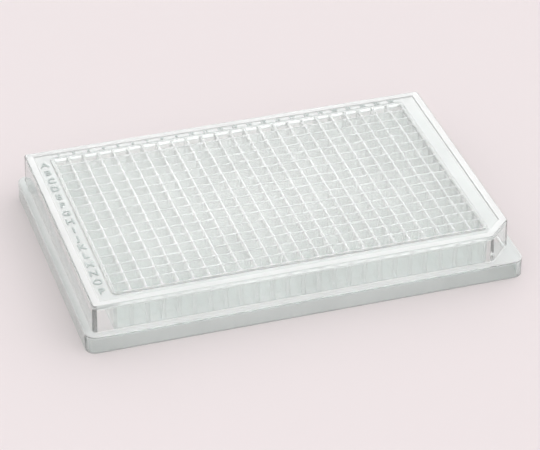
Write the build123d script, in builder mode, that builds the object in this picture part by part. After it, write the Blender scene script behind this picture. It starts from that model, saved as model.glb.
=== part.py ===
from build123d import *

import os
from math import radians, tan

# A 384-well plate: one clear moulding with a flange, a hollow upper body and a block of wells.
#
# Millimetres, +Z up. The origin is the centre of the footprint on the base plane. +X runs along
# the long side from column 1 to column 24, and +Y runs from row P to row A, so well A1 is the
# corner well at -X, +Y.

# Well grid
column_count = 24
row_count = 16
well_pitch = 4.5
end_to_first_well = 12.13  # plate end to the centres of the first column
side_to_first_well = 8.99  # plate side to the centres of the first row

# Heights
plate_height = 14.35
flange_height = 5.8
well_underside_height = 1.85  # clear space under the well block
moat_depth = 0.3  # the deck between the rim and the wells is sunk by this much

# Wall thicknesses
skirt_wall = 1.3
deck_thickness = 1.2
well_floor_thickness = 1.0
well_web = 0.8  # wall shared by two wells, at their mouths
block_border = 1.2  # wall outside the outermost wells
rim_width = 2.4  # flat rim round the top of the body

# Plan details
flange_corner_radius = 3.18
body_corner_radius = 1.2
end_ledge = 2.25  # flange top that shows beyond the body at each end
side_ledge = 1.55  # flange top that shows beyond the body along each side
notch_leg = 7.0  # cut across the body's corner beside well P24
well_corner_flat = 0.4

# Mould drafts in degrees, and the bevels that break the top edges
body_draft = 1.0
well_draft = 1.0
flange_edge_bevel = 0.4
rim_edge_bevel = 0.4

# Sizes that follow
footprint_length = (column_count - 1) * well_pitch + 2 * end_to_first_well
footprint_width = (row_count - 1) * well_pitch + 2 * side_to_first_well
body_length = footprint_length - 2 * end_ledge
body_width = footprint_width - 2 * side_ledge
body_height = plate_height - flange_height
body_top_inset = body_height * tan(radians(body_draft))

well_mouth = well_pitch - well_web
well_depth = plate_height - well_underside_height - well_floor_thickness
block_length = column_count * well_pitch - well_web + 2 * block_border
block_width = row_count * well_pitch - well_web + 2 * block_border
block_height = plate_height - well_underside_height
block_corner_radius = block_border + well_corner_flat

lower_cavity_height = flange_height - skirt_wall
deck_underside = plate_height - moat_depth - deck_thickness


def body_plan(inset):
    """Plan of the upper body where it leaves the flange, drawn this far inside its wall."""
    with BuildSketch() as plan:
        Rectangle(body_length, body_width)
        notched_corner = plan.vertices().group_by(Axis.X)[-1].sort_by(Axis.Y)[0]
        chamfer(notched_corner, notch_leg)
        fillet(plan.vertices(), body_corner_radius)
        if inset > 0:
            offset(amount=-inset)
    return plan.sketch


# Outside of the well block: it narrows towards its underside
with BuildPart() as well_block:
    with BuildSketch(Plane.XY.offset(plate_height)):
        RectangleRounded(block_length, block_width, block_corner_radius)
    extrude(amount=-block_height)
    block_sides = well_block.faces().filter_by(Axis.Z, reverse=True)
    draft(block_sides, Plane.XY.offset(plate_height), -well_draft)

# Inside of one well, as the mould's core: square, with its corners taken off and a flat tip
with BuildPart() as well_core:
    with BuildSketch(Plane.XY.offset(plate_height)) as well_mouth_plan:
        Rectangle(well_mouth, well_mouth)
        chamfer(well_mouth_plan.vertices(), well_corner_flat)
    extrude(amount=-well_depth)
    core_sides = well_core.faces().filter_by(Axis.Z, reverse=True)
    draft(core_sides, Plane.XY.offset(plate_height), -well_draft)

with BuildPart() as well_plate:
    # Flange: the full footprint, with all four corners
    with BuildSketch():
        RectangleRounded(footprint_length, footprint_width, flange_corner_radius)
    extrude(amount=flange_height)
    chamfer(well_plate.faces().sort_by(Axis.Z)[-1].edges(), flange_edge_bevel)

    # Upper body: stands in from the flange, with one corner cut as a key
    with BuildSketch(Plane.XY.offset(flange_height)):
        add(body_plan(inset=0))
    extrude(amount=body_height, taper=body_draft)
    chamfer(well_plate.faces().sort_by(Axis.Z)[-1].edges(), rim_edge_bevel)

    # Hollow skirt: it fits over the rim of a plate stacked below
    with BuildSketch():
        RectangleRounded(
            footprint_length - 2 * skirt_wall,
            footprint_width - 2 * skirt_wall,
            flange_corner_radius - skirt_wall,
        )
    extrude(amount=lower_cavity_height, mode=Mode.SUBTRACT)
    with BuildSketch(Plane.XY.offset(lower_cavity_height)):
        add(body_plan(inset=skirt_wall))
    extrude(amount=deck_underside - lower_cavity_height, taper=body_draft, mode=Mode.SUBTRACT)

    # Well block: hangs from the deck, inside the skirt
    add(well_block.part)

    # Moat: the sunk deck between the rim and the well block
    with BuildSketch(Plane.XY.offset(plate_height)):
        add(body_plan(inset=body_top_inset + rim_width))
        RectangleRounded(block_length, block_width, block_corner_radius, mode=Mode.SUBTRACT)
    extrude(amount=-moat_depth, mode=Mode.SUBTRACT)

    # Wells: one core for each place in the grid
    with GridLocations(well_pitch, well_pitch, column_count, row_count):
        add(well_core.part, mode=Mode.SUBTRACT)

well_plate.part.label = "well_plate"
os.makedirs("parts", exist_ok=True)
export_step(well_plate.part, "parts/well_plate.step")
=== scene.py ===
"""Looks of the well plate: the moulding rebuilt with its rounded edges, its index marks,
the clear plastic it is made of, and the floor, world and camera it is seen with."""
import math

import bmesh
import bpy
from mathutils import Matrix, Vector


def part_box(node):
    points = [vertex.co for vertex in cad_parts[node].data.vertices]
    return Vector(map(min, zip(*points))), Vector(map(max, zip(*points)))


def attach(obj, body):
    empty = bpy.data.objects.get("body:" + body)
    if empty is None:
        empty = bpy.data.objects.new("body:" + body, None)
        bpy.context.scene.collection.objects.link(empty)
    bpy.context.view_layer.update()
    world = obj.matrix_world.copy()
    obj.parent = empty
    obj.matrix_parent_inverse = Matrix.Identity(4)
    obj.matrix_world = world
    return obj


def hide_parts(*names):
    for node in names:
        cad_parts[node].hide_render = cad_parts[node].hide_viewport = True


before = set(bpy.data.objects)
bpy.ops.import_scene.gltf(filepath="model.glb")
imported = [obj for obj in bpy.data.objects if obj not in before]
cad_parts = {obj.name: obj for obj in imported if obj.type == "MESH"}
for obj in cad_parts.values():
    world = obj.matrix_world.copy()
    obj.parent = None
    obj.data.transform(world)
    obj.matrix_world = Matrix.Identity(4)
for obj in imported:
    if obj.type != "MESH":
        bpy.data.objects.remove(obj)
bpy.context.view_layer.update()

MM = 0.001  # lengths below are in millimetres, and the meshes are in metres

# ---------------------------------------------------------------- sizes of the plate

COLUMNS, ROWS, PITCH = 24, 16, 4.5
FOOT_X, FOOT_Y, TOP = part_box("well_plate")[1] / MM  # half the footprint, and the height

# Walls
SKIRT_WALL = 1.3
DECK_THICKNESS = 1.2
WELL_FLOOR_THICKNESS = 1.0
WELL_WEB = 0.8  # wall shared by two wells, at their mouths
BLOCK_BORDER = 1.2  # wall outside the outermost wells
RIM_WIDTH = 2.4
DRAFT = math.tan(math.radians(1.0))  # one degree, as a slope

# Heights
FLANGE_TOP = 5.8
DECK_DEPTH = 0.3  # the deck between the rim and the wells is sunk by this much
DECK_TOP = TOP - DECK_DEPTH
DECK_UNDERSIDE = DECK_TOP - DECK_THICKNESS
BLOCK_UNDERSIDE = 1.85
WELL_FLOOR = BLOCK_UNDERSIDE + WELL_FLOOR_THICKNESS

# Plan
END_LEDGE, SIDE_LEDGE = 2.25, 1.55
FLANGE_RADIUS, BODY_RADIUS, WELL_RADIUS = 3.18, 1.2, 0.5  # of the corners
SMALLEST_RADIUS = 0.05  # left at a corner where the inset takes all of its radius
NOTCH = 7.0  # legs of the cut across the body's front right corner
WELL_HALF = (PITCH - WELL_WEB) / 2
BODY_TOP_INSET = (TOP - FLANGE_TOP) * DRAFT

# Rounds that the mould leaves on its edges
RIM_ROUND = 0.4
FLANGE_ROUND = 0.4
BORDER_ROUND = 0.25
FOOT_ROUND = 0.15
MOUTH_ROUND = 0.15
INNER_ROUND = 0.3
WELL_FLOOR_ROUND = 0.3

# Facets
ROUND_STEPS = 4  # in a rounded edge of the plate
WELL_ROUND_STEPS = 3  # in a rounded edge of a well
WELL_CORNER_STEPS = 4  # in a plan corner of a well
CUT_CORNER_STEPS = 9  # in each of the two rounds of the body's cut corner
CORNER_POINTS = 2 * (CUT_CORNER_STEPS + 1)  # in every plan corner of the plate, cut or not

# Index marks on the deck
LETTER_HEIGHT = 2.6
NUMBER_HEIGHT = 1.3
MARK_RELIEF = 0.2
LETTER_BOLD, NUMBER_BOLD = 0.04, 0.07  # how much thicker strokes are, on each side, than the font's
MARK_SHIFT = 0.15  # towards the rim, from the middle of the deck
MARK_GAP = 0.01  # so that no face of a mark lies in the deck's own
MARK_CURVE_STEPS = 3
MERGE_DISTANCE = 0.005  # vertices of a mark that are closer become one
CAP_HEIGHT = 0.73  # height of a capital letter in the font, for a size of 1

# ---------------------------------------------------------------- the moulding's mesh

# Outlines in plan: (half length, half width, corner radius, cut at the front right corner)
BLOCK_X = COLUMNS * PITCH / 2 - WELL_WEB / 2 + BLOCK_BORDER
BLOCK_Y = ROWS * PITCH / 2 - WELL_WEB / 2 + BLOCK_BORDER
FLANGE = (FOOT_X, FOOT_Y, FLANGE_RADIUS, 0.0)
BODY = (FOOT_X - END_LEDGE, FOOT_Y - SIDE_LEDGE, BODY_RADIUS, NOTCH)
BLOCK = (BLOCK_X, BLOCK_Y, BLOCK_BORDER + WELL_RADIUS, 0.0)

# Headings in the walls' section: (further inside the outline, up)
OUT, IN, UP, DOWN = (-1, 0), (1, 0), (0, 1), (0, -1)

# The plate's finishes, of which the border, rim, ledge and flange are the one clear plastic with
# painted shade or painted highlight, and which of them give way to another at its ends and along its
# long sides
PLATE_FINISHES = ("wells", "border_painted_shade", "rim_painted_highlight", "body", "ledge_painted_highlight", "flange_painted_shade", "deck", "groove")
# At the ends the border's painted shade gives way to the wells' finish, so it darkens the border along
# the front and rear only
END_FINISHES = {"border_painted_shade": "wells"}
LONG_SIDE_FINISHES = {"deck": "groove"}


def arc(centre_x, centre_y, radius, start, end, count):
    """Points on an arc, where angle 0 points along -Y and 90 degrees along +X."""
    angles = [math.radians(start + (end - start) * i / (count - 1)) for i in range(count)]
    return [(centre_x + radius * math.sin(a), centre_y - radius * math.cos(a)) for a in angles]


def ring(outline, inset, z):
    """One loop round the plate, this far inside an outline, counter-clockwise from the front left.

    Every loop has the same points: those where the grid lines of the wells meet a side, and
    those of the four corners, so that any two loops can be joined by quads.
    """
    half_x, half_y, radius, notch = outline
    half_x, half_y = half_x - inset, half_y - inset
    radius = max(radius - inset, SMALLEST_RADIUS)
    columns = [PITCH * (i - COLUMNS / 2) for i in range(1, COLUMNS)]
    rows = [PITCH * (i - ROWS / 2) for i in range(1, ROWS)]
    points = [(x, -half_y) for x in columns]
    if notch:
        # Moved in together with the two sides it joins, a cut at 45 degrees has shorter legs
        notch -= inset * (2 - math.sqrt(2))
        tangent = radius * math.tan(math.radians(45 / 2))
        first = (half_x - notch - tangent, radius - half_y)
        second = (half_x - radius, notch + tangent - half_y)
        points += arc(*first, radius, 0, 45, CORNER_POINTS // 2)
        points += arc(*second, radius, 45, 90, CORNER_POINTS // 2)
    else:
        points += arc(half_x - radius, radius - half_y, radius, 0, 90, CORNER_POINTS)
    points += [(half_x, y) for y in rows]
    points += arc(half_x - radius, half_y - radius, radius, 90, 180, CORNER_POINTS)
    points += [(x, half_y) for x in reversed(columns)]
    points += arc(radius - half_x, half_y - radius, radius, 180, 270, CORNER_POINTS)
    points += [(-half_x, y) for y in reversed(rows)]
    points += arc(radius - half_x, radius - half_y, radius, 270, 360, CORNER_POINTS)
    return [(x, y, z) for x, y in points]


def rounded_edge(outline, inset, z, radius, heading, turned):
    """Loops that take the walls' section round a corner at (inset, z), from one heading to the next."""
    loops = []
    for i in range(ROUND_STEPS + 1):
        turn = math.radians(90 * i / ROUND_STEPS)
        along = radius * (math.sin(turn) - 1)
        across = radius * (1 - math.cos(turn))
        loops.append(ring(outline, inset + along * heading[0] + across * turned[0],
                          z + along * heading[1] + across * turned[1]))
    return loops


def wall_section():
    """The walls' section, from the outline of the wells' block out, down and back under them.

    Each row names a flat face and holds the loops of the rounded edge that ends it.
    """
    rim_inset = BODY_TOP_INSET + RIM_WIDTH
    step_z = FLANGE_TOP - SKIRT_WALL
    deck_inset = SKIRT_WALL + (DECK_UNDERSIDE - step_z) * DRAFT
    block_top_inset = (TOP - DECK_UNDERSIDE) * DRAFT
    block_foot_inset = (TOP - BLOCK_UNDERSIDE) * DRAFT
    return (
        ("border_painted_shade", rounded_edge(BLOCK, 0, TOP, BORDER_ROUND, OUT, DOWN)),
        ("border_painted_shade", rounded_edge(BLOCK, 0, DECK_TOP, BORDER_ROUND, DOWN, OUT)),
        ("deck", rounded_edge(BODY, rim_inset, DECK_TOP, BORDER_ROUND, OUT, UP)),
        ("rim_painted_highlight", rounded_edge(BODY, rim_inset, TOP, BORDER_ROUND, UP, OUT)),
        ("rim_painted_highlight", rounded_edge(BODY, BODY_TOP_INSET, TOP, RIM_ROUND, OUT, DOWN)),
        ("body", rounded_edge(BODY, 0, FLANGE_TOP, INNER_ROUND, DOWN, OUT)),
        ("ledge_painted_highlight", rounded_edge(FLANGE, 0, FLANGE_TOP, FLANGE_ROUND, OUT, DOWN)),
        ("flange_painted_shade", rounded_edge(FLANGE, 0, 0, FOOT_ROUND, DOWN, IN)),
        ("flange_painted_shade", rounded_edge(FLANGE, SKIRT_WALL, 0, FOOT_ROUND, IN, UP)),
        ("flange_painted_shade", rounded_edge(FLANGE, SKIRT_WALL, step_z, INNER_ROUND, UP, IN)),
        ("body", rounded_edge(BODY, SKIRT_WALL, step_z, INNER_ROUND, IN, UP)),
        ("body", rounded_edge(BODY, deck_inset, DECK_UNDERSIDE, INNER_ROUND, UP, IN)),
        ("deck", rounded_edge(BLOCK, block_top_inset, DECK_UNDERSIDE, INNER_ROUND, IN, DOWN)),
        ("wells", rounded_edge(BLOCK, block_foot_inset, BLOCK_UNDERSIDE, INNER_ROUND, DOWN, IN)),
    )


def well_loops(centre_x, centre_y):
    """The loops of one well, from its mouth down to its floor."""
    narrowing = (TOP - WELL_FLOOR) * DRAFT
    turns = [math.radians(90 * i / WELL_ROUND_STEPS) for i in range(WELL_ROUND_STEPS + 1)]
    # (how much wider than the mouth, height)
    section = [(MOUTH_ROUND * (1 - math.sin(turn)), TOP - MOUTH_ROUND * (1 - math.cos(turn)))
               for turn in turns]
    section += [(-narrowing - WELL_FLOOR_ROUND * (1 - math.cos(turn)),
                 WELL_FLOOR + WELL_FLOOR_ROUND * (1 - math.sin(turn))) for turn in turns]
    loops = []
    for wider, z in section:
        half = WELL_HALF + wider
        radius = WELL_RADIUS + wider
        flat = half - radius
        loop = []
        for sign_x, sign_y, start in ((1, -1, 0), (1, 1, 90), (-1, 1, 180), (-1, -1, 270)):
            loop += arc(centre_x + sign_x * flat, centre_y + sign_y * flat, radius,
                        start, start + 90, WELL_CORNER_STEPS + 1)
        loops.append([(x, y, z) for x, y in loop])
    return loops


class MeshParts:
    """Vertices and faces gathered loop by loop."""

    def __init__(self):
        self.vertices = []
        self.faces = []
        self.finishes = {}  # the finish of each face outside the grid of wells

    def add_loop(self, points):
        first = len(self.vertices)
        self.vertices += points
        return list(range(first, len(self.vertices)))

    def join(self, outer, inner):
        """Quads between two loops of as many points, facing up where inner lies inside outer."""
        for i in range(len(outer)):
            j = (i + 1) % len(outer)
            self.faces.append((outer[i], outer[j], inner[j], inner[i]))


def add_wall_tops(parts, mouth, cell):
    """The flat top of the walls round one well, from its mouth out to the corners of its cell."""
    per_corner = WELL_CORNER_STEPS + 1
    for corner in range(4):
        here = mouth[corner * per_corner:(corner + 1) * per_corner]
        following = mouth[(corner + 1) * per_corner % len(mouth)]
        for a, b in zip(here, here[1:]):
            parts.faces.append((cell[corner], b, a))
        parts.faces.append((cell[corner], cell[(corner + 1) % 4], following, here[-1]))


def add_wells(parts):
    """The grid of wells and the flat tops of their walls. Returns the grid's outer boundary."""
    nodes = {}
    for row in range(ROWS + 1):
        for column in range(COLUMNS + 1):
            x = PITCH * (column - COLUMNS / 2)
            y = PITCH * (row - ROWS / 2)
            nodes[column, row] = parts.add_loop([(x, y, TOP)])[0]
    for row in range(ROWS):
        for column in range(COLUMNS):
            x = PITCH * (column + 0.5 - COLUMNS / 2)
            y = PITCH * (row + 0.5 - ROWS / 2)
            loops = [parts.add_loop(points) for points in well_loops(x, y)]
            for upper, lower in zip(loops, loops[1:]):
                parts.join(upper, lower)
            parts.faces.append(tuple(loops[-1]))
            add_wall_tops(parts, loops[0], [nodes[column + 1, row], nodes[column + 1, row + 1],
                                            nodes[column, row + 1], nodes[column, row]])
    front = [nodes[column, 0] for column in range(1, COLUMNS)]
    right = [nodes[COLUMNS, row] for row in range(1, ROWS)]
    rear = [nodes[column, ROWS] for column in range(COLUMNS - 1, 0, -1)]
    left = [nodes[0, row] for row in range(ROWS - 1, 0, -1)]
    corners = [nodes[COLUMNS, 0], nodes[COLUMNS, ROWS], nodes[0, ROWS], nodes[0, 0]]
    boundary = []
    for side, corner in zip((front, right, rear, left), corners):
        boundary += side + [corner] * CORNER_POINTS
    return boundary


def add_wall(parts, inner, outer, finish):
    """Quads from one loop to the next, or triangles where the first one stays at a point."""
    for i in range(len(outer)):
        j = (i + 1) % len(outer)
        nearest_y = min(abs(parts.vertices[k][1]) for k in (outer[i], outer[j]))
        others = LONG_SIDE_FINISHES if nearest_y > ROWS * PITCH / 2 else END_FINISHES
        parts.finishes[len(parts.faces)] = others.get(finish, finish)
        face = (inner[i], outer[i], outer[j], inner[j])
        parts.faces.append(face if inner[i] != inner[j] else face[:3])


def add_shell(parts, boundary):
    """Everything outside the grid of wells, and the flat underside of their block."""
    section = wall_section()
    following = [finish for finish, _ in section[1:]] + ["wells"]
    inner = boundary
    for (finish, edge), next_finish in zip(section, following):
        # An edge is finished like the face after it, but the ledge's finish, with its painted
        # highlight, runs on over its edge
        edge_finish = finish if finish == "ledge_painted_highlight" else next_finish
        for step, points in enumerate(edge):
            outer = parts.add_loop(points)
            add_wall(parts, inner, outer, edge_finish if step > 0 else finish)
            inner = outer
    parts.faces.append(tuple(reversed(inner)))


def mesh_object(name, parts, materials):
    """A new smooth-shaded object, with its lengths turned from millimetres to metres."""
    mesh = bpy.data.meshes.new(name)
    mesh.from_pydata([tuple(c * MM for c in v) for v in parts.vertices], [], parts.faces)
    mesh.validate()
    for material in materials:
        mesh.materials.append(material)
    made = bpy.data.objects.new(name, mesh)
    bpy.context.scene.collection.objects.link(made)
    mesh.shade_smooth()
    return made


def apply_modifiers(made):
    """Puts the modifiers' result in the object's own mesh."""
    graph = bpy.context.evaluated_depsgraph_get()
    made.data = bpy.data.meshes.new_from_object(made.evaluated_get(graph))
    made.modifiers.clear()


def build_plate(materials):
    """The plate as one closed mesh, with a material for each finish."""
    parts = MeshParts()
    add_shell(parts, add_wells(parts))
    plate = mesh_object("plate", parts, [materials[finish] for finish in PLATE_FINISHES])
    for index, finish in parts.finishes.items():
        plate.data.polygons[index].material_index = PLATE_FINISHES.index(finish)
    # Large flat faces keep their own normals, and the rounds turn between them
    weighted = plate.modifiers.new("weighted_normals", "WEIGHTED_NORMAL")
    weighted.weight = 100  # large faces count as much as they can
    apply_modifiers(plate)
    return plate


# ---------------------------------------------------------------- row letters and column numbers

def mark_mesh(text, height, bold, x, y):
    """One raised mark, lying flat and centred on a point of the deck."""
    glyph = bpy.data.curves.new(text, "FONT")
    glyph.body = text
    glyph.size = height / CAP_HEIGHT * MM
    glyph.align_x = "CENTER"
    glyph.extrude = MARK_RELIEF / 2 * MM
    glyph.offset = bold * MM
    glyph.resolution_u = MARK_CURVE_STEPS
    lettering = bpy.data.objects.new(text, glyph)
    bpy.context.scene.collection.objects.link(lettering)
    graph = bpy.context.evaluated_depsgraph_get()
    mesh = bpy.data.meshes.new_from_object(lettering.evaluated_get(graph))
    bpy.data.objects.remove(lettering)
    z = DECK_TOP + MARK_GAP + MARK_RELIEF / 2
    mesh.transform(Matrix.Translation((x * MM, (y - height / 2) * MM, z * MM)))
    return mesh


def build_marks(material):
    """Letters for the rows down the left side and numbers for the columns along the rear."""
    rim_inset = BODY_TOP_INSET + RIM_WIDTH
    letters_x = -(BLOCK_X + BODY[0] - rim_inset) / 2 - MARK_SHIFT
    numbers_y = (BLOCK_Y + BODY[1] - rim_inset) / 2 + MARK_SHIFT
    joined = bmesh.new()
    for row in range(ROWS):
        y = PITCH * ((ROWS - 1) / 2 - row)
        joined.from_mesh(mark_mesh(chr(ord("A") + row), LETTER_HEIGHT, LETTER_BOLD, letters_x, y))
    for column in range(COLUMNS):
        x = PITCH * (column - (COLUMNS - 1) / 2)
        joined.from_mesh(mark_mesh(str(column + 1), NUMBER_HEIGHT, NUMBER_BOLD, x, numbers_y))
    # Text leaves its faces and sides unjoined, with a few faces that have no area
    bmesh.ops.remove_doubles(joined, verts=joined.verts, dist=MERGE_DISTANCE * MM)
    bmesh.ops.dissolve_degenerate(joined, edges=joined.edges, dist=MERGE_DISTANCE * MM)
    bmesh.ops.recalc_face_normals(joined, faces=joined.faces)
    mesh = bpy.data.meshes.new("index_marks")
    joined.to_mesh(mesh)
    joined.free()
    mesh.materials.clear()
    mesh.materials.append(material)
    marks = bpy.data.objects.new("index_marks", mesh)
    bpy.context.scene.collection.objects.link(marks)
    return marks


# ---------------------------------------------------------------- materials

POLYSTYRENE_IOR = 1.59
PATCH_SCALE, PATCH_DETAIL = 90.0, 3.0
DARK_FROM, DARK_TO = 0.4, 0.75  # noise levels between which a patch's tint darkens
DARKENED = 0.95  # the share of its tint that is left
WAVE_SCALE, WAVE_DETAIL = 160.0, 1.0
WAVE_STRENGTH, WAVE_HEIGHT = 0.25, 0.1
MATT_ROUGHNESS = 0.9
MIX_FACTOR, MIX_FIRST, MIX_SECOND, MIX_RESULT = 0, 6, 7, 2  # a Mix node's sockets for colours

# Shares of the light that plastic lets through at a face
ALL_PASSES = (1.0, 1.0, 1.0)
MOST_PASSES = (0.90, 0.92, 0.915)
LESS_PASSES = (0.80, 0.82, 0.81)

# Clearness is the transmission, and change is how far roughness goes up and down over the patches
FINISHES_AND_PAINTED_LIGHT = {
    "wells": dict(colour=(0.955, 1.0, 0.985), clearness=0.76, roughness=0.06, change=0.03,
                  upright=ALL_PASSES, level=ALL_PASSES),
    # Darker than the wells: painted shade on the block's border along the front and rear
    "border_painted_shade": dict(colour=(0.86, 0.90, 0.89), clearness=0.78, roughness=0.35, change=0.05,
                   upright=ALL_PASSES, level=ALL_PASSES),
    # Less clear and so whiter than the body: a painted highlight on the rim
    "rim_painted_highlight": dict(colour=(0.985, 1.0, 0.995), clearness=0.43, roughness=0.06, change=0.03,
                upright=(0.93, 0.945, 0.94), level=(0.84, 0.86, 0.855)),
    "body": dict(colour=(0.965, 0.995, 0.99), clearness=0.92, roughness=0.06, change=0.03,
                 upright=(0.86, 0.88, 0.87), level=LESS_PASSES),
    # Less clear and so whiter than the body: a painted highlight on the ledge along the flange's top
    "ledge_painted_highlight": dict(colour=(0.965, 0.995, 0.99), clearness=0.50, roughness=0.06, change=0.03,
                  upright=LESS_PASSES, level=LESS_PASSES),
    # Darker and greener than the body: painted shade on the flange's walls and foot
    "flange_painted_shade": dict(colour=(0.76, 0.835, 0.82), clearness=0.92, roughness=0.08, change=0.03,
                   upright=LESS_PASSES, level=LESS_PASSES),
    "deck": dict(colour=(0.97, 1.0, 0.99), clearness=0.62, roughness=0.10, change=0.03,
                 upright=MOST_PASSES, level=(0.45, 0.48, 0.47)),
    "groove": dict(colour=(0.97, 1.0, 0.99), clearness=0.62, roughness=0.25, change=0.05,
                   upright=MOST_PASSES, level=(0.60, 0.63, 0.62)),
    "marks": dict(colour=(0.62, 0.68, 0.665), clearness=0.4, roughness=0.5, change=0.05,
                  upright=LESS_PASSES, level=LESS_PASSES),
}


def noise(nodes, links, place, scale, detail):
    """A noise fixed to the object."""
    made = nodes.new("ShaderNodeTexNoise")
    made.inputs["Scale"].default_value = scale
    made.inputs["Detail"].default_value = detail
    links.new(place.outputs["Object"], made.inputs["Vector"])
    return made.outputs["Fac"]


def mix_colours(nodes, links, factor, first, second):
    """A colour that turns from the first to the second as the factor goes from 0 to 1."""
    mix = nodes.new("ShaderNodeMix")
    mix.data_type = "RGBA"
    mix.inputs[MIX_FIRST].default_value = (*first, 1)
    mix.inputs[MIX_SECOND].default_value = (*second, 1)
    links.new(factor, mix.inputs[MIX_FACTOR])
    return mix.outputs[MIX_RESULT]


def add_surface(nodes, links, shader, colour, roughness, change):
    """Patches that are a little duller and darker, and the faint waves of a moulded face."""
    place = nodes.new("ShaderNodeTexCoord")
    patches = noise(nodes, links, place, PATCH_SCALE, PATCH_DETAIL)
    spread = nodes.new("ShaderNodeMapRange")
    spread.inputs["To Min"].default_value = roughness - change
    spread.inputs["To Max"].default_value = roughness + change
    links.new(patches, spread.inputs["Value"])
    links.new(spread.outputs["Result"], shader.inputs["Roughness"])
    darkness = nodes.new("ShaderNodeMapRange")
    darkness.inputs["From Min"].default_value = DARK_FROM
    darkness.inputs["From Max"].default_value = DARK_TO
    links.new(patches, darkness.inputs["Value"])
    tint = mix_colours(nodes, links, darkness.outputs["Result"], colour,
                       [part * DARKENED for part in colour])
    links.new(tint, shader.inputs["Base Color"])

    bump = nodes.new("ShaderNodeBump")
    bump.inputs["Strength"].default_value = WAVE_STRENGTH
    bump.inputs["Distance"].default_value = WAVE_HEIGHT * MM
    links.new(noise(nodes, links, place, WAVE_SCALE, WAVE_DETAIL), bump.inputs["Height"])
    links.new(bump.outputs["Normal"], shader.inputs["Normal"])


def plastic(name, colour, clearness, roughness, change, upright, level):
    """Clear polystyrene.

    Direct light, and light that matt surfaces have bounced, goes straight through it, as it
    does through thin clear walls. A face lets one share of it pass where it stands upright and
    another where it lies level.
    """
    material = bpy.data.materials.new(name)
    material.use_nodes = True
    nodes, links = material.node_tree.nodes, material.node_tree.links
    shader = nodes["Principled BSDF"]
    shader.inputs["IOR"].default_value = POLYSTYRENE_IOR
    shader.inputs["Transmission Weight"].default_value = clearness
    add_surface(nodes, links, shader, colour, roughness, change)

    geometry = nodes.new("ShaderNodeNewGeometry")
    split = nodes.new("ShaderNodeSeparateXYZ")
    flatness = nodes.new("ShaderNodeMath")
    flatness.operation = "ABSOLUTE"
    see_through = nodes.new("ShaderNodeBsdfTransparent")
    links.new(geometry.outputs["Normal"], split.inputs["Vector"])
    links.new(split.outputs["Z"], flatness.inputs["Value"])
    share = mix_colours(nodes, links, flatness.outputs["Value"], upright, level)
    links.new(share, see_through.inputs["Color"])

    path = nodes.new("ShaderNodeLightPath")
    surface = shader.outputs["BSDF"]
    for kind in ("Is Diffuse Ray", "Is Shadow Ray"):
        mix = nodes.new("ShaderNodeMixShader")
        factor, first, second = mix.inputs
        links.new(path.outputs[kind], factor)
        links.new(surface, first)
        links.new(see_through.outputs["BSDF"], second)
        surface = mix.outputs["Shader"]
    links.new(surface, nodes["Material Output"].inputs["Surface"])
    return material


def matt_material(name, colour):
    material = bpy.data.materials.new(name)
    material.use_nodes = True
    shader = material.node_tree.nodes["Principled BSDF"]
    shader.inputs["Base Color"].default_value = (*colour, 1)
    shader.inputs["Roughness"].default_value = MATT_ROUGHNESS
    shader.inputs["Specular IOR Level"].default_value = 0.0
    return material


# ---------------------------------------------------------------- floor, world and camera

PALE_PINK = (0.863, 0.791, 0.799)
FLOOR_RADIUS, COVE_RADIUS, BACKDROP_HEIGHT = 3000, 500, 900
FLOOR_FACETS, COVE_FACETS = 96, 8

# Levels of the world, and where they start and end. A height is the sine of an elevation.
DIM = 0.508  # the level near the horizon
RING = 0.8  # what is added in a ring all round, at about the camera's own height
RING_RISE, RING_FALL = (0.1, 0.4), (0.95, 0.65)  # heights at which it fades in and out
BRIGHT_SIDE, SIDE_SHARE = 70.0, 0.6  # brighter on this side by this share, and dimmer opposite
WINDOW = 0.95  # what is added where a low window shines behind the plate, towards its right
WINDOW_AZIMUTH, WINDOW_ELEVATION = 155.0, 22.0
WINDOW_GLOW = (0.84, 0.966)  # cosines of the angles from its middle at which it fades in
WINDOW_TOP = (0.565, 0.53)  # heights at which its upper edge fades out

CAMERA_AZIMUTH, CAMERA_ELEVATION = -17.41, 33.4
CAMERA_DISTANCE = 786.2
SIGHT_RIGHT, SIGHT_UP = 1.507, 2.631  # how far its line of sight passes from the frame's origin
FOCAL_LENGTH, SENSOR_WIDTH, NEAREST = 180.3, 36, 10

BOUNCES = 32  # light crosses dozens of faces on its way through the wells


def add_floor():
    """A round floor that curves up, well away from the plate, into a low backdrop."""
    parts = MeshParts()
    section = [(FLOOR_RADIUS - COVE_RADIUS, 0), (FLOOR_RADIUS, 0)]
    for i in range(1, COVE_FACETS + 1):
        turn = math.radians(90 * i / COVE_FACETS)
        section.append((FLOOR_RADIUS + COVE_RADIUS * math.sin(turn),
                        COVE_RADIUS * (1 - math.cos(turn))))
    section.append((FLOOR_RADIUS + COVE_RADIUS, BACKDROP_HEIGHT))
    turns = [2 * math.pi * i / FLOOR_FACETS for i in range(FLOOR_FACETS)]
    loops = [parts.add_loop([(radius * math.cos(a), radius * math.sin(a), height) for a in turns])
             for radius, height in section]
    parts.faces.append(tuple(loops[0]))
    for inner, outer in zip(loops, loops[1:]):
        parts.join(outer, inner)
    mesh_object("floor", parts, [matt_material("floor", PALE_PINK)])


def direction_of(azimuth, elevation):
    """The unit vector from the plate to something seen from it, where azimuth 0 is along -Y."""
    azimuth, elevation = math.radians(azimuth), math.radians(elevation)
    return Vector((math.sin(azimuth) * math.cos(elevation),
                   -math.cos(azimuth) * math.cos(elevation), math.sin(elevation)))


def smooth_step(nodes, links, value, low, high, strength):
    """A value that goes smoothly from 0 at low to strength at high."""
    step = nodes.new("ShaderNodeMapRange")
    step.interpolation_type = "SMOOTHSTEP"
    step.inputs["From Min"].default_value = low
    step.inputs["From Max"].default_value = high
    step.inputs["To Max"].default_value = strength
    links.new(value, step.inputs["Value"])
    return step.outputs["Result"]


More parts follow.
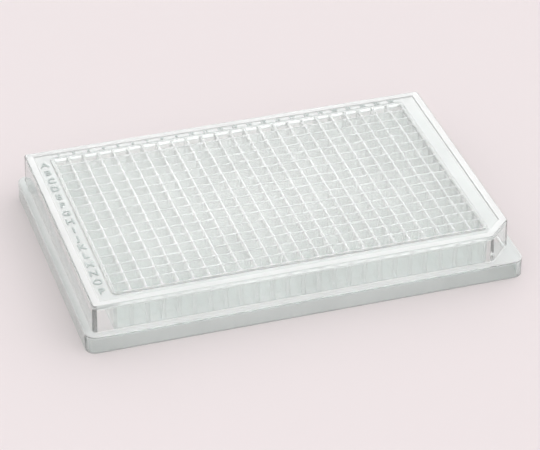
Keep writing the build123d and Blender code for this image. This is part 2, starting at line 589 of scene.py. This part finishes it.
def math_node(nodes, links, operation, first, second):
    """The result of an operation on two values, each a number or another node's output."""
    node = nodes.new("ShaderNodeMath")
    node.operation = operation
    for socket, value in zip(node.inputs, (first, second)):
        if isinstance(value, float):
            socket.default_value = value
        else:
            links.new(value, socket)
    return node.outputs["Value"]


def facing(nodes, links, direction, towards):
    """How far a direction points towards a vector: their dot product."""
    node = nodes.new("ShaderNodeVectorMath")
    node.operation = "DOT_PRODUCT"
    first, second = node.inputs[:2]
    links.new(direction, first)
    second.default_value = towards
    return node.outputs["Value"]


def add_world():
    """Soft light from all round, brightest from a window behind the plate."""
    world = bpy.data.worlds.new("studio")
    bpy.context.scene.world = world
    world.use_nodes = True
    nodes, links = world.node_tree.nodes, world.node_tree.links
    direction = nodes.new("ShaderNodeTexCoord").outputs["Generated"]
    split = nodes.new("ShaderNodeSeparateXYZ")
    links.new(direction, split.inputs["Vector"])
    height = split.outputs["Z"]

    ring_light = math_node(nodes, links, "MULTIPLY",
                           smooth_step(nodes, links, height, *RING_RISE, RING),
                           smooth_step(nodes, links, height, *RING_FALL, 1.0))
    around = math_node(nodes, links, "ADD", ring_light, DIM)
    side = facing(nodes, links, direction, direction_of(BRIGHT_SIDE, 0) * SIDE_SHARE)
    around = math_node(nodes, links, "MULTIPLY", around,
                       math_node(nodes, links, "ADD", side, 1.0))

    window_cosine = facing(nodes, links, direction, direction_of(WINDOW_AZIMUTH, WINDOW_ELEVATION))
    window = math_node(nodes, links, "MULTIPLY",
                       smooth_step(nodes, links, window_cosine, *WINDOW_GLOW, WINDOW),
                       smooth_step(nodes, links, height, *WINDOW_TOP, 1.0))
    background = nodes["Background"]
    background.inputs["Color"].default_value = (1, 1, 1, 1)
    links.new(math_node(nodes, links, "ADD", around, window), background.inputs["Strength"])


def add_camera():
    """A long lens from the front left, above the plate."""
    back = direction_of(CAMERA_AZIMUTH, CAMERA_ELEVATION)
    right = Vector((-back.y, back.x, 0)).normalized()
    up = back.cross(right)
    lens = bpy.data.cameras.new("camera")
    lens.lens = FOCAL_LENGTH
    lens.sensor_width = SENSOR_WIDTH
    lens.clip_start = NEAREST * MM
    camera = bpy.data.objects.new("camera", lens)
    bpy.context.scene.collection.objects.link(camera)
    turn = Matrix((right, up, back)).transposed().to_4x4()
    place = CAMERA_DISTANCE * MM * back + SIGHT_RIGHT * MM * right + SIGHT_UP * MM * up
    camera.matrix_world = Matrix.Translation(place) @ turn
    bpy.context.scene.camera = camera


# ---------------------------------------------------------------- the scene

materials = {finish: plastic(finish + "_plastic", **look) for finish, look in FINISHES_AND_PAINTED_LIGHT.items()}

plate = build_plate(materials)
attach(plate, "root")
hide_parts("well_plate")

marks = build_marks(materials["marks"])
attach(marks, "root")

add_floor()
add_world()
add_camera()
scene = bpy.context.scene
scene.view_settings.view_transform = "Standard"
scene.cycles.max_bounces = BOUNCES
scene.cycles.transmission_bounces = BOUNCES
scene.cycles.transparent_max_bounces = BOUNCES
